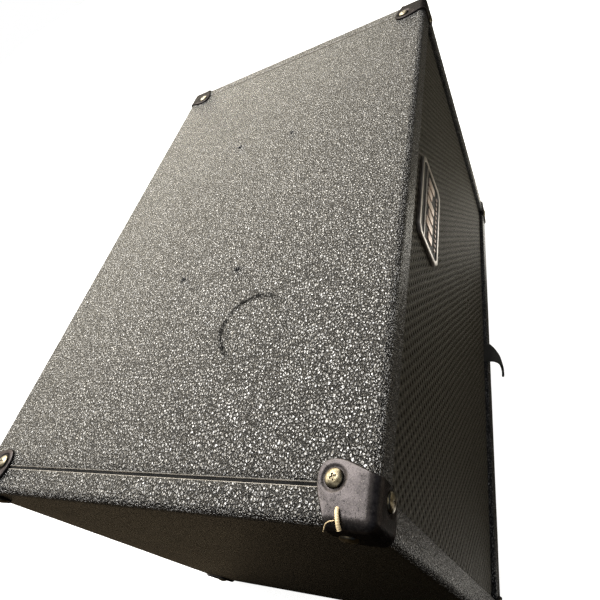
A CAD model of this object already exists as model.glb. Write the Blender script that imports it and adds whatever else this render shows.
import bpy
import math
import numpy as np
from mathutils import Matrix, Vector


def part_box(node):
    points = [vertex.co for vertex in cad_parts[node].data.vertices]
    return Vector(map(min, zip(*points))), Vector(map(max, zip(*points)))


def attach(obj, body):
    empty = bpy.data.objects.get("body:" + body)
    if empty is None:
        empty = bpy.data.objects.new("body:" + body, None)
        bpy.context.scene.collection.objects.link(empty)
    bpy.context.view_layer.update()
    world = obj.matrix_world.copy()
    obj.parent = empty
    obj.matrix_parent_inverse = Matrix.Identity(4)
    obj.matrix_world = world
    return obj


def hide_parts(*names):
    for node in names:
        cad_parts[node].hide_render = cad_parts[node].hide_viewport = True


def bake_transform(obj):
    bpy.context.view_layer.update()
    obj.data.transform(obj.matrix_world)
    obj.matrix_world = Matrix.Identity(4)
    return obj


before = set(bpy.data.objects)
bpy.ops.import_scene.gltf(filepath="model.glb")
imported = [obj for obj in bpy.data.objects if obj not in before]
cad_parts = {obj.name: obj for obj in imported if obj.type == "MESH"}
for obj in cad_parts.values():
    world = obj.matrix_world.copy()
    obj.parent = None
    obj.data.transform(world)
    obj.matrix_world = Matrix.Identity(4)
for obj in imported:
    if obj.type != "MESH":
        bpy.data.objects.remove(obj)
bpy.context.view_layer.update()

MM = 0.001


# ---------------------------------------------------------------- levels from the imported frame
def box_mm(node):
    lo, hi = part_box(node)
    return np.array(lo) * 1000.0, np.array(hi) * 1000.0


_lo, _hi = box_mm("vinyl_wrap")
HX = (_hi[0] - _lo[0]) / 2           # half width
YF, YB = _lo[1], _hi[1]              # front and rear rim faces
ZB, ZT = _lo[2], _hi[2]              # underside and top of the box
HZ = (ZT - ZB) / 2
ZC = (ZT + ZB) / 2
DEPTH = YB - YF
R_EDGE = 6.2
LIP = 21.6
SKIN = 1.2


# ---------------------------------------------------------------- mesh helpers
def new_object(name, verts, faces, mats, body, replaces=(), smooth=True, face_mat=None,
               attrs=None, sharp_angle=None):
    me = bpy.data.meshes.new(name)
    verts = np.asarray(verts, dtype=float) * MM
    me.from_pydata(verts.tolist(), [], [list(map(int, f)) for f in faces])
    me.validate(verbose=False)
    for m in mats:
        me.materials.append(m)
    if face_mat is not None:
        me.polygons.foreach_set("material_index", np.asarray(face_mat, dtype=np.int32))
    if attrs:
        for key, values in attrs.items():
            a = me.attributes.new(key, "FLOAT", "POINT")
            a.data.foreach_set("value", np.asarray(values, dtype=np.float32))
    me.polygons.foreach_set("use_smooth", np.full(len(me.polygons), smooth))
    if sharp_angle is not None:
        me.set_sharp_from_angle(angle=math.radians(sharp_angle))
    me.update()
    ob = bpy.data.objects.new(name, me)
    bpy.context.scene.collection.objects.link(ob)
    if body:
        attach(ob, body)
    if replaces:
        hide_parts(*replaces)
    return ob


def grid_faces(n, m, offset=0, flip=False, wrap_n=False):
    """Quads of an n by m grid whose vertex (i, j) has number offset + i * m + j."""
    i = np.arange(n if wrap_n else n - 1)
    j = np.arange(m - 1)
    I, J = np.meshgrid(i, j, indexing="ij")
    a = offset + I * m + J
    b = offset + ((I + 1) % n) * m + J
    q = np.stack([a, b, b + 1, a + 1], -1).reshape(-1, 4)
    return q[:, ::-1] if flip else q


def smoothstep(a, b, x):
    t = np.clip((np.asarray(x, dtype=float) - a) / (b - a), 0, 1)
    return t * t * (3 - 2 * t)


def value_noise(p, scale, seed=0):
    """Smooth 3-D value noise in 0..1 at p (N x 3, mm) with cells of the given size."""
    q = np.asarray(p, dtype=float) / scale
    i = np.floor(q).astype(np.int64)
    f = q - i
    f = f * f * (3 - 2 * f)
    out = np.zeros(len(q))
    for dx in (0, 1):
        for dy in (0, 1):
            for dz in (0, 1):
                k = ((i[:, 0] + dx) * 73856093) ^ ((i[:, 1] + dy) * 19349663) ^ ((i[:, 2] + dz) * 83492791) ^ (seed * 2654435761)
                k = (k ^ (k >> 13)) * 1274126177 & 0x7FFFFFFF
                k = (k ^ (k >> 11)) & 0xFFFF
                w = (f[:, 0] if dx else 1 - f[:, 0]) * (f[:, 1] if dy else 1 - f[:, 1]) * (f[:, 2] if dz else 1 - f[:, 2])
                out += w * (k / 65535.0)
    return out


def orient(verts, faces):
    """Faces turned so that a closed surface has positive volume."""
    v = np.asarray(verts)
    vol = 0.0
    by_len = {}
    for f in faces:
        by_len.setdefault(len(f), []).append(f)
    for n, group in by_len.items():
        g = np.asarray(group)
        for k in range(1, n - 1):
            vol += np.einsum("ij,ij->i", v[g[:, 0]], np.cross(v[g[:, k]], v[g[:, k + 1]])).sum()
    return [list(f)[::-1] for f in faces] if vol < 0 else [list(f) for f in faces]


def catmull(points, n):
    """Smooth curve through the points, n samples, spread by chord length."""
    P = np.asarray(points, dtype=float)
    seg = np.r_[0, np.cumsum(np.linalg.norm(np.diff(P, axis=0), axis=1) ** 0.5)]
    t = np.linspace(0, seg[-1], n)
    out = np.zeros((n, P.shape[1]))
    E = np.vstack([2 * P[0] - P[1], P, 2 * P[-1] - P[-2]])
    k = np.r_[seg[0] - (seg[1] - seg[0]), seg, seg[-1] + (seg[-1] - seg[-2])]
    for a, x in enumerate(t):
        i = min(np.searchsorted(seg, x, side="right"), len(P) - 1)
        p0, p1, p2, p3 = E[i - 1], E[i], E[i + 1], E[i + 2]
        t0, t1, t2, t3 = k[i - 1], k[i], k[i + 1], k[i + 2]
        A1 = (t1 - x) / (t1 - t0) * p0 + (x - t0) / (t1 - t0) * p1
        A2 = (t2 - x) / (t2 - t1) * p1 + (x - t1) / (t2 - t1) * p2
        A3 = (t3 - x) / (t3 - t2) * p2 + (x - t2) / (t3 - t2) * p3
        B1 = (t2 - x) / (t2 - t0) * A1 + (x - t0) / (t2 - t0) * A2
        B2 = (t3 - x) / (t3 - t1) * A2 + (x - t1) / (t3 - t1) * A3
        out[a] = (t2 - x) / (t2 - t1) * B1 + (x - t1) / (t2 - t1) * B2
    return out


# ---------------------------------------------------------------- node helpers
class Nodes:
    def __init__(self, name):
        self.mat = bpy.data.materials.new(name)
        self.mat.use_nodes = True
        self.t = self.mat.node_tree
        self.t.nodes.clear()
        self.out = self.t.nodes.new("ShaderNodeOutputMaterial")
        self.bsdf = self.t.nodes.new("ShaderNodeBsdfPrincipled")
        self.t.links.new(self.bsdf.outputs[0], self.out.inputs[0])
        co = self.t.nodes.new("ShaderNodeTexCoord")
        self.co = self.vmath("SCALE", co.outputs["Object"], scale=1000.0)   # millimetres

    def put(self, sock, value):
        if hasattr(value, "is_linked") or isinstance(value, bpy.types.NodeSocket):
            self.t.links.new(value, sock)
        else:
            sock.default_value = value

    def set(self, **kw):
        names = {"color": "Base Color", "rough": "Roughness", "metal": "Metallic", "normal": "Normal",
                 "spec": "Specular IOR Level", "sheen": "Sheen Weight", "sheen_rough": "Sheen Roughness",
                 "sheen_tint": "Sheen Tint", "coat": "Coat Weight", "coat_rough": "Coat Roughness", "ior": "IOR",
                 "emit": "Emission Strength", "alpha": "Alpha", "spec_tint": "Specular Tint",
                 "aniso": "Anisotropic"}
        for k, v in kw.items():
            if isinstance(v, tuple) and len(v) == 3:
                v = (*v, 1.0)
            self.put(self.bsdf.inputs[names[k]], v)
        return self

    def math(self, op, a, b=None, c=None, clamp=False):
        n = self.t.nodes.new("ShaderNodeMath")
        n.operation = op
        n.use_clamp = clamp
        self.put(n.inputs[0], a)
        if b is not None:
            self.put(n.inputs[1], b)
        if c is not None:
            self.put(n.inputs[2], c)
        return n.outputs[0]

    def vmath(self, op, a, b=None, scale=None):
        n = self.t.nodes.new("ShaderNodeVectorMath")
        n.operation = op
        self.put(n.inputs[0], a)
        if b is not None:
            self.put(n.inputs[1], b)
        if scale is not None:
            self.put(n.inputs["Scale"], scale)
        return n.outputs["Value"] if op in ("LENGTH", "DISTANCE", "DOT_PRODUCT") else n.outputs["Vector"]

    def xyz(self, v):
        n = self.t.nodes.new("ShaderNodeSeparateXYZ")
        self.put(n.inputs[0], v)
        return n.outputs

    def vec(self, x, y, z):
        n = self.t.nodes.new("ShaderNodeCombineXYZ")
        for s, v in zip(n.inputs, (x, y, z)):
            self.put(s, v)
        return n.outputs[0]

    def noise(self, co, scale, detail=2.0, rough=0.5, distort=0.0, color=False):
        n = self.t.nodes.new("ShaderNodeTexNoise")
        self.put(n.inputs["Vector"], co)
        n.inputs["Scale"].default_value = scale
        n.inputs["Detail"].default_value = detail
        n.inputs["Roughness"].default_value = rough
        n.inputs["Distortion"].default_value = distort
        return n.outputs["Color" if color else 0]

    def voronoi(self, co, scale, feature="F1", rand=1.0, smooth=None, output="Distance"):
        n = self.t.nodes.new("ShaderNodeTexVoronoi")
        n.feature = feature
        self.put(n.inputs["Vector"], co)
        n.inputs["Scale"].default_value = scale
        n.inputs["Randomness"].default_value = rand
        if smooth is not None:
            n.inputs["Smoothness"].default_value = smooth
        return n.outputs[output]

    def ramp(self, x, stops, interp="LINEAR"):
        n = self.t.nodes.new("ShaderNodeValToRGB")
        n.color_ramp.interpolation = interp
        el = n.color_ramp.elements
        while len(el) < len(stops):
            el.new(0.5)
        for e, (p, c) in zip(el, stops):
            e.position = p
            e.color = (c, c, c, 1) if isinstance(c, (int, float)) else (*c, 1)
        self.put(n.inputs[0], x)
        return n.outputs[0]

    def range(self, x, a, b, c=0.0, d=1.0, smooth=True):
        n = self.t.nodes.new("ShaderNodeMapRange")
        n.interpolation_type = "SMOOTHSTEP" if smooth else "LINEAR"
        self.put(n.inputs["Value"], x)
        for key, v in (("From Min", a), ("From Max", b), ("To Min", c), ("To Max", d)):
            self.put(n.inputs[key], v)
        return n.outputs[0]

    def mix(self, f, a, b, mode="MIX"):
        n = self.t.nodes.new("ShaderNodeMix")
        n.data_type = "RGBA"
        n.blend_type = mode
        self.put(n.inputs[0], f)
        for sock, v in ((n.inputs[6], a), (n.inputs[7], b)):
            if isinstance(v, tuple) and len(v) == 3:
                v = (*v, 1.0)
            if isinstance(v, (int, float)):
                v = (v, v, v, 1.0)
            self.put(sock, v)
        return n.outputs[2]

    def fmix(self, f, a, b):
        n = self.t.nodes.new("ShaderNodeMix")
        n.data_type = "FLOAT"
        self.put(n.inputs[0], f)
        self.put(n.inputs[2], a)
        self.put(n.inputs[3], b)
        return n.outputs[0]

    def bump(self, height, mm, strength=1.0, normal=None):
        n = self.t.nodes.new("ShaderNodeBump")
        n.inputs["Strength"].default_value = strength
        n.inputs["Distance"].default_value = mm * MM
        self.put(n.inputs["Height"], height)
        if normal is not None:
            self.put(n.inputs["Normal"], normal)
        return n.outputs[0]

    def attr(self, name):
        n = self.t.nodes.new("ShaderNodeAttribute")
        n.attribute_name = name
        return n.outputs["Fac"]

    def facing(self, blend=0.5):
        n = self.t.nodes.new("ShaderNodeLayerWeight")
        n.inputs[0].default_value = blend
        return n.outputs["Facing"]


# ---------------------------------------------------------------- materials
def vinyl_material(name, marks=False):
    n = Nodes(name)
    p = n.co
    warp = n.vmath("SCALE", n.vmath("SUBTRACT", n.noise(p, 0.50, 2.0, color=True), (0.5, 0.5, 0.5)), scale=2.8)
    q = n.vmath("MULTIPLY", n.vmath("ADD", p, warp), (0.70, 1.0, 1.0))
    edge = n.voronoi(q, 1 / 1.95, "DISTANCE_TO_EDGE")
    cell = n.range(edge, 0.0, 0.25)
    f1 = n.voronoi(q, 1 / 1.95, "SMOOTH_F1", smooth=0.20)
    dome = n.range(f1, 0.95, 0.0)
    worm = n.voronoi(n.vmath("MULTIPLY", q, (0.9, 0.85, 0.86)), 1 / 1.15, "DISTANCE_TO_EDGE")
    small = n.range(worm, 0.0, 0.22)
    tilt = n.noise(n.vmath("ADD", p, (41.0, 17.0, 5.0)), 0.42, 1.5, 0.5)
    h = n.math("MULTIPLY", cell, 0.30)
    h = n.math("MULTIPLY_ADD", dome, 0.12, h)
    h = n.math("MULTIPLY_ADD", small, 0.17, h)
    h = n.math("MULTIPLY_ADD", tilt, 0.30, h)
    fold = n.noise(n.vmath("ADD", n.vmath("MULTIPLY", p, (0.55, 1.0, 0.9)), (3.0, 71.0, 29.0)), 0.30, 1.0, 0.5)
    fold = n.math("SUBTRACT", 1.0, n.math("ABSOLUTE", n.math("MULTIPLY_ADD", fold, 2.0, -1.0)))
    h = n.math("MULTIPLY_ADD", n.range(fold, 0.50, 1.0, smooth=False), 0.16, h)
    geo = n.t.nodes.new("ShaderNodeNewGeometry")
    h = n.math("MULTIPLY", h, n.range(n.xyz(geo.outputs["Normal"])[0], -0.97, -0.80, 0.34, 1.0))
    slow = n.noise(p, 0.012, 3.0, 0.55)
    patch = n.noise(p, 0.05, 3.0, 0.6)
    crease = n.math("SUBTRACT", 1.0, cell)
    color = n.mix(n.range(slow, 0.3, 0.7), (0.0038, 0.0037, 0.0035), (0.0060, 0.0056, 0.0050))
    color = n.mix(n.math("MULTIPLY", crease, 0.80), color, (0.0020, 0.0020, 0.0020))
    dust = n.math("MULTIPLY", n.range(patch, 0.50, 0.75), n.range(n.noise(p, 0.9, 2.0), 0.45, 0.7))
    color = n.mix(n.math("MULTIPLY", dust, 0.20), color, (0.075, 0.068, 0.060))
    rough = n.math("MULTIPLY_ADD", n.range(slow, 0.25, 0.75), 0.06, 0.13)
    rough = n.math("MULTIPLY_ADD", dust, 0.14, rough)
    rough = n.math("MULTIPLY_ADD", crease, 0.22, rough)
    if marks:
        # ring left by a cup, and two pale scuffs, on the top face only
        c = n.xyz(p)
        d = n.vmath("LENGTH", n.vmath("SUBTRACT", n.vec(c[0], c[1], 0.0), (138 - HX, 115 + YF, 0)))
        ring = n.math("MULTIPLY", n.range(d, 25.5, 28.5), n.range(d, 33.5, 30.5))
        ring = n.math("MULTIPLY", ring, n.math("MULTIPLY", n.range(n.noise(p, 0.10, 2.0), 0.30, 0.46), n.range(n.noise(p, 0.45, 3.0), 0.36, 0.52, 0.5, 1.0)))
        arcside = n.math("ADD", n.math("MULTIPLY", n.math("SUBTRACT", c[0], 138 - HX), 0.6), n.math("SUBTRACT", c[1], 115 + YF))
        ring = n.math("MULTIPLY", ring, n.range(arcside, -22.0, 14.0, 0.25, 1.0))
        color = n.mix(n.math("MULTIPLY", ring, 0.9), color, (0.003, 0.003, 0.003))
        rough = n.math("MULTIPLY_ADD", ring, 0.25, rough)
        for (s, v, ls, lv, rot) in SCUFFS:
            e = n.vmath("SUBTRACT", n.vec(c[0], c[1], 0.0), (s - HX, v + YF, 0))
            ex = n.xyz(e)
            ca, sa = math.cos(rot), math.sin(rot)
            a1 = n.math("ADD", n.math("MULTIPLY", ex[0], ca / ls), n.math("MULTIPLY", ex[1], sa / ls))
            a2 = n.math("ADD", n.math("MULTIPLY", ex[0], -sa / lv), n.math("MULTIPLY", ex[1], ca / lv))
            r = n.math("SQRT", n.math("ADD", n.math("MULTIPLY", a1, a1), n.math("MULTIPLY", a2, a2)))
            m = n.math("MULTIPLY", n.range(r, 1.0, 0.2), n.range(n.noise(p, 0.8, 3.0, 0.7), 0.42, 0.62))
            color = n.mix(n.math("MULTIPLY", m, 0.5), color, (0.42, 0.40, 0.37))
        n.ring = ring
    soot = n.attr("soot")
    color = n.mix(soot, color, (0.002, 0.002, 0.002))
    torn = n.attr("torn")
    color = n.mix(n.math("MULTIPLY", torn, 0.7), color, (0.16, 0.15, 0.135))
    rough = n.math("ADD", rough, n.math("MULTIPLY", soot, 0.5))
    shade = n.math("SUBTRACT", 1.0, soot)
    gloss = n.math("MAXIMUM", n.math("MULTIPLY_ADD", crease, -1.60, 1.68), 0.08)
    if marks:
        gloss = n.math("MULTIPLY", gloss, n.math("MULTIPLY_ADD", ring, -0.95, 1.0))
    n.set(color=color, rough=rough, spec=n.math("MULTIPLY", gloss, shade), normal=n.bump(h, 1.50, 1.0))
    return n.mat


SCUFFS = [(205, 161, 7, 2.5, 0.9), (238, 262, 10, 3.0, 0.2)]


def simple(name, color, rough=0.5, metal=0.0, spec=0.5, noise_scale=0.4, bump_mm=0.05, color2=None, rough_var=0.12, **kw):
    n = Nodes(name)
    a = n.noise(n.co, noise_scale, 4.0, 0.6)
    b = n.noise(n.co, noise_scale * 0.12, 3.0, 0.5)
    c2 = color2 or tuple(min(1.0, x * 1.45 + 0.004) for x in color)
    col = n.mix(n.range(b, 0.3, 0.7), color, c2)
    r = n.math("MULTIPLY_ADD", n.math("SUBTRACT", a, 0.5), rough_var * 2, rough)
    n.set(color=col, rough=r, metal=metal, spec=spec, normal=n.bump(a, bump_mm, 0.8), **kw)
    return n.mat


def cap_material():
    n = Nodes("corner_protector_metal")
    p = n.co
    speck = n.noise(p, 1.7, 3.0, 0.7)
    specks = n.range(speck, 0.57, 0.68)
    darks = n.range(n.noise(p, 0.9, 4.0, 0.75), 0.55, 0.64)
    cloud = n.noise(p, 0.11, 3.0, 0.6)
    sc = n.vmath("MULTIPLY", p, (0.5, 3.4, 1.6))
    scratch = n.range(n.noise(sc, 0.9, 4.0, 0.75), 0.63, 0.70)
    wear = n.attr("wear")
    color = n.mix(n.range(cloud, 0.3, 0.7), (0.018, 0.016, 0.016), (0.038, 0.0335, 0.0335))
    color = n.mix(n.math("MULTIPLY", specks, 0.60), color, (0.085, 0.078, 0.066))
    color = n.mix(n.math("MULTIPLY", darks, 0.8), color, (0.003, 0.003, 0.003))
    color = n.mix(n.math("MULTIPLY", scratch, 0.30), color, (0.07, 0.066, 0.062))
    bare = n.math("MULTIPLY", wear, n.range(n.noise(p, 0.55, 4.0, 0.7), 0.44, 0.60))
    color = n.mix(n.math("MULTIPLY", bare, 0.70), color, (0.075, 0.070, 0.066))
    rough = n.math("MULTIPLY_ADD", cloud, 0.16, 0.22)
    rough = n.math("MULTIPLY_ADD", specks, 0.12, rough)
    h = n.math("ADD", n.math("MULTIPLY", speck, 0.5), n.math("MULTIPLY", scratch, -0.25))
    n.set(color=color, rough=rough, metal=0.85, spec=0.35, normal=n.bump(h, 0.10, 0.9), spec_tint=(0.30, 0.29, 0.28))
    return n.mat


def screw_material():
    n = Nodes("worn_nickel")
    p = n.co
    stain = n.noise(p, 0.55, 4.0, 0.7)
    color = n.mix(n.range(stain, 0.35, 0.7), (0.17, 0.150, 0.105), (0.060, 0.048, 0.028))
    pit = n.range(n.noise(p, 2.6, 3.0, 0.7), 0.60, 0.68)
    color = n.mix(n.math("MULTIPLY", pit, 0.7), color, (0.03, 0.024, 0.016))
    color = n.mix(n.math("MULTIPLY", n.attr("groove"), 0.8), color, (0.035, 0.028, 0.018))
    n.set(color=color, metal=1.0, rough=n.math("MULTIPLY_ADD", stain, 0.22, 0.12),
          normal=n.bump(n.noise(p, 1.6, 3.0), 0.05, 0.7))
    return n.mat


def cloth_material():
    n = Nodes("grille_weave")
    c = n.xyz(n.co)
    # slow drift of the threads, then the two diagonal lattice coordinates
    drift = n.noise(n.co, 0.02, 1.0, color=True)
    dx = n.xyz(n.vmath("SCALE", n.vmath("SUBTRACT", drift, (0.5, 0.5, 0.5)), scale=2.2))
    x = n.math("ADD", c[0], dx[0])
    z = n.math("ADD", c[2], dx[2])
    a = n.math("DIVIDE", x, 8.5)
    b = n.math("DIVIDE", z, 9.0)
    u = n.math("ADD", a, b)
    w = n.math("SUBTRACT", a, b)
    fu = n.math("SUBTRACT", n.math("FRACT", u), 0.5)
    fw = n.math("SUBTRACT", n.math("FRACT", w), 0.5)
    r = n.math("SQRT", n.math("ADD", n.math("MULTIPLY", fu, fu), n.math("MULTIPLY", fw, fw)))
    r = n.math("MULTIPLY_ADD", n.math("SUBTRACT", n.noise(n.co, 0.9, 2.0), 0.5), 0.16, r)
    hole = n.math("MULTIPLY", n.range(r, 0.27, 0.12), n.range(n.noise(n.co, 0.11, 3.0, 0.7), 0.18, 0.5, 0.45, 1.0))
    # threads: fine plain weave under the coarse diagonal bundles
    tx = n.math("SINE", n.math("MULTIPLY", x, 2 * math.pi / 1.0625))
    tz = n.math("SINE", n.math("MULTIPLY", z, 2 * math.pi / 1.125))
    weave = n.math("MULTIPLY", tx, tz)
    cu = n.math("ABSOLUTE", fu)
    cw = n.math("ABSOLUTE", fw)
    bundle = n.math("MAXIMUM", cu, cw)
    bundle = n.range(bundle, 0.18, 0.5)
    fleck = n.range(n.noise(n.co, 0.75, 3.0, 0.7), 0.55, 0.75)
    h = n.math("MULTIPLY_ADD", weave, 0.10, 0.4)
    h = n.math("MULTIPLY_ADD", bundle, 0.45, h)
    h = n.math("MULTIPLY_ADD", hole, -0.9, h)
    color = n.mix(bundle, (0.0036, 0.0033, 0.0024), (0.0105, 0.0095, 0.0070))
    color = n.mix(n.math("MULTIPLY", n.range(weave, -0.2, 0.9), 0.45), color, (0.034, 0.031, 0.022))
    color = n.mix(n.math("MULTIPLY", fleck, 0.4), color, (0.060, 0.058, 0.050))
    knot = n.math("MULTIPLY", n.range(n.math("MINIMUM", cu, cw), 0.28, 0.46), n.range(n.noise(n.co, 0.5, 2.0), 0.34, 0.6))
    color = n.mix(n.math("MULTIPLY", knot, 0.65), color, (0.15, 0.140, 0.112))
    color = n.mix(n.math("MULTIPLY", hole, 0.93), color, (0.0010, 0.0010, 0.0010))
    lint = n.range(n.noise(n.co, 0.16, 5.0, 0.8), 0.735, 0.76)
    color = n.mix(n.math("MULTIPLY", lint, 0.5), color, (0.30, 0.29, 0.27))
    n.set(color=color, rough=0.55, spec=n.math("MULTIPLY_ADD", hole, -0.17, 0.18), sheen=0.02, sheen_rough=0.4,
          sheen_tint=(0.95, 0.88, 0.72), spec_tint=(1.0, 0.93, 0.78), normal=n.bump(h, 1.6, 0.95))
    return n.mat


def mark_metal():
    n = Nodes("rose_mark_metal")
    cloud = n.noise(n.co, 0.30, 3.0, 0.6)
    color = n.mix(n.range(cloud, 0.35, 0.65), (0.34, 0.25, 0.21), (0.55, 0.46, 0.42))
    n.set(color=color, metal=1.0, rough=n.math("MULTIPLY_ADD", cloud, 0.2, 0.22), normal=n.bump(cloud, 0.08, 0.7))
    return n.mat


def webbing_material():
    n = Nodes("webbing_weave")
    c = n.xyz(n.co)
    rib = n.math("SINE", n.math("MULTIPLY", n.math("ADD", c[0], n.math("MULTIPLY", c[1], 0.0)), 2 * math.pi / 1.6))
    row = n.math("SINE", n.math("MULTIPLY", n.math("ADD", c[1], c[2]), 2 * math.pi / 0.9))
    h = n.math("MULTIPLY_ADD", n.math("MULTIPLY", rib, row), 0.3, 0.5)
    fuzz = n.noise(n.co, 1.8, 4.0, 0.7)
    h = n.math("MULTIPLY_ADD", fuzz, 0.5, h)
    color = n.mix(n.range(h, 0.4, 1.1), (0.005, 0.005, 0.0048), (0.016, 0.016, 0.0145))
    n.set(color=color, rough=0.75, spec=0.25, sheen=0.02, normal=n.bump(h, 0.35, 0.9))
    return n.mat


def wood_material(name, dark=False):
    n = Nodes(name)
    c = n.xyz(n.co)
    stretched = n.vmath("MULTIPLY", n.co, (0.05, 0.9, 0.9))
    grain = n.noise(stretched, 1.0, 6.0, 0.65, 0.4)
    ply = n.math("SINE", n.math("MULTIPLY", c[2], 2 * math.pi / 2.6))
    if dark:
        color = n.mix(n.range(grain, 0.35, 0.65), (0.010, 0.010, 0.010), (0.022, 0.021, 0.020))
    else:
        color = n.mix(n.range(grain, 0.35, 0.65), (0.40, 0.27, 0.15), (0.58, 0.43, 0.27))
        color = n.mix(n.math("MULTIPLY", n.range(ply, 0.2, 0.9), 0.25), color, (0.30, 0.19, 0.10))
    n.set(color=color, rough=n.math("MULTIPLY_ADD", grain, 0.2, 0.55), normal=n.bump(grain, 0.18, 0.8))
    return n.mat


def cone_material():
    n = Nodes("pressed_paper")
    fibre = n.noise(n.vmath("MULTIPLY", n.co, (1.0, 1.0, 1.0)), 1.4, 6.0, 0.75, 1.2)
    color = n.mix(n.range(fibre, 0.35, 0.7), (0.012, 0.012, 0.013), (0.032, 0.031, 0.031))
    n.set(color=color, rough=0.78, normal=n.bump(fibre, 0.25, 0.9))
    return n.mat


def badge_metal():
    n = Nodes("satin_plate_metal")
    brushed = n.noise(n.vmath("MULTIPLY", n.co, (0.25, 3.0, 6.0)), 1.0, 4.0, 0.7)
    cloud = n.noise(n.co, 0.06, 2.0)
    color = n.mix(n.range(cloud, 0.35, 0.65), (0.30, 0.275, 0.255), (0.40, 0.375, 0.355))
    color = n.mix(n.math("MULTIPLY", n.range(n.noise(n.co, 1.2, 3.0, 0.7), 0.62, 0.72), 0.5), color, (0.25, 0.22, 0.20))
    n.set(color=color, metal=1.0, rough=n.math("MULTIPLY_ADD", brushed, 0.16, 0.22), normal=n.bump(brushed, 0.04, 0.6))
    return n.mat


M = {
    "vinyl_top": vinyl_material("pebbled_vinyl_top", marks=True),
    "vinyl": vinyl_material("pebbled_vinyl"),
    "cut": simple("vinyl_cut_edge", (0.20, 0.185, 0.16), 0.6, noise_scale=1.2, bump_mm=0.1, spec=0.3),
    "glue": simple("seam_glue", (0.0015, 0.0015, 0.0015), 0.8, noise_scale=0.6, bump_mm=0.2, spec=0.08),
    "cap": cap_material(),
    "screw": screw_material(),
    "cloth": cloth_material(),
    "webbing": webbing_material(),
    "badge": badge_metal(),
    "mark": mark_metal(),
    "enamel": simple("black_enamel", (0.0025, 0.0025, 0.0028), 0.5, noise_scale=0.5, bump_mm=0.02, spec=0.12),
    "wood": wood_material("plywood"),
    "baffle": wood_material("baffle_paint", dark=True),
    "cone": cone_material(),
    "dustcap": simple("dust_cap_felt", (0.010, 0.010, 0.011), 0.55, noise_scale=1.8, bump_mm=0.12),
    "surround": simple("surround_rubber", (0.010, 0.010, 0.010), 0.48, noise_scale=0.5, bump_mm=0.05),
    "basket": simple("basket_paint", (0.012, 0.012, 0.013), 0.38, noise_scale=1.1, bump_mm=0.08),
    "ferrite": simple("ferrite", (0.030, 0.030, 0.034), 0.55, metal=0.3, noise_scale=1.4, bump_mm=0.12),
    "plastic": simple("moulded_plastic", (0.011, 0.011, 0.012), 0.42, noise_scale=2.2, bump_mm=0.06),
    "pcb": simple("circuit_board", (0.010, 0.055, 0.022), 0.4, noise_scale=0.9, bump_mm=0.05),
    "rubber": simple("foot_rubber", (0.013, 0.013, 0.013), 0.72, noise_scale=1.1, bump_mm=0.12),
    "plate": simple("plate_paint", (0.010, 0.010, 0.011), 0.36, noise_scale=2.4, bump_mm=0.07),
    "steel": simple("blackened_screw", (0.10, 0.10, 0.10), 0.32, metal=0.9, noise_scale=0.9, bump_mm=0.04),
    "tan": simple("tan_staple", (0.42, 0.31, 0.16), 0.45, noise_scale=0.9, bump_mm=0.10, color2=(0.50, 0.40, 0.24)),
    "white": simple("pointer_paint", (0.62, 0.62, 0.60), 0.5, noise_scale=0.9, bump_mm=0.03),
}


# ---------------------------------------------------------------- vinyl covering
def fill(values, step):
    """Sorted positions with extra ones so that no gap is wider than step."""
    v = sorted(set(round(x, 4) for x in values))
    out = [v[0]]
    for a, b in zip(v, v[1:]):
        n = max(1, int(math.ceil((b - a) / step)))
        out += [a + (b - a) * k / n for k in range(1, n + 1)]
    return out


HOLES = [(202, 150, 0.4), (203, 213, -1.1), (401, 140, 1.9), (408, 214, 0.2)]      # s, v, tear direction
NICKS = [(101, 1.6, 1.0), (169, 1.3, 0.9), (141, 0.8, 0.5), (262, 1.0, 0.5)]        # u, size, depth on the front-left edge


def station_point(st, d):
    """X, Z and outward direction of a perimeter station at inward offset d."""
    kind, t = st
    rc = max(R_EDGE - d, 0.6)
    hx, hz = HX - d, HZ - d
    if kind in ("top", "bottom"):
        full, keep = HX - R_EDGE, 279.0
        lim = hx - rc
        x = t
        if d > R_EDGE and abs(t) > keep:
            x = math.copysign(keep + (abs(t) - keep) * (lim - keep) / (full - keep), t)
        sz = 1 if kind == "top" else -1
        return x, ZC + sz * hz, 0.0, sz
    if kind in ("left", "right"):
        full, keep = HZ - R_EDGE, 156.0
        lim = hz - rc
        z = t
        if d > R_EDGE and abs(t) > keep:
            z = math.copysign(keep + (abs(t) - keep) * (lim - keep) / (full - keep), t)
        sx = 1 if kind == "right" else -1
        return sx * hx, ZC + z, sx, 0.0
    cx, cz = {"tl": (-1, 1), "tr": (1, 1), "bl": (-1, -1), "br": (1, -1)}[kind]
    ca, sa = math.cos(t), math.sin(t)
    return cx * (hx - rc) + rc * ca, ZC + cz * (hz - rc) + rc * sa, ca, sa


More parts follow.
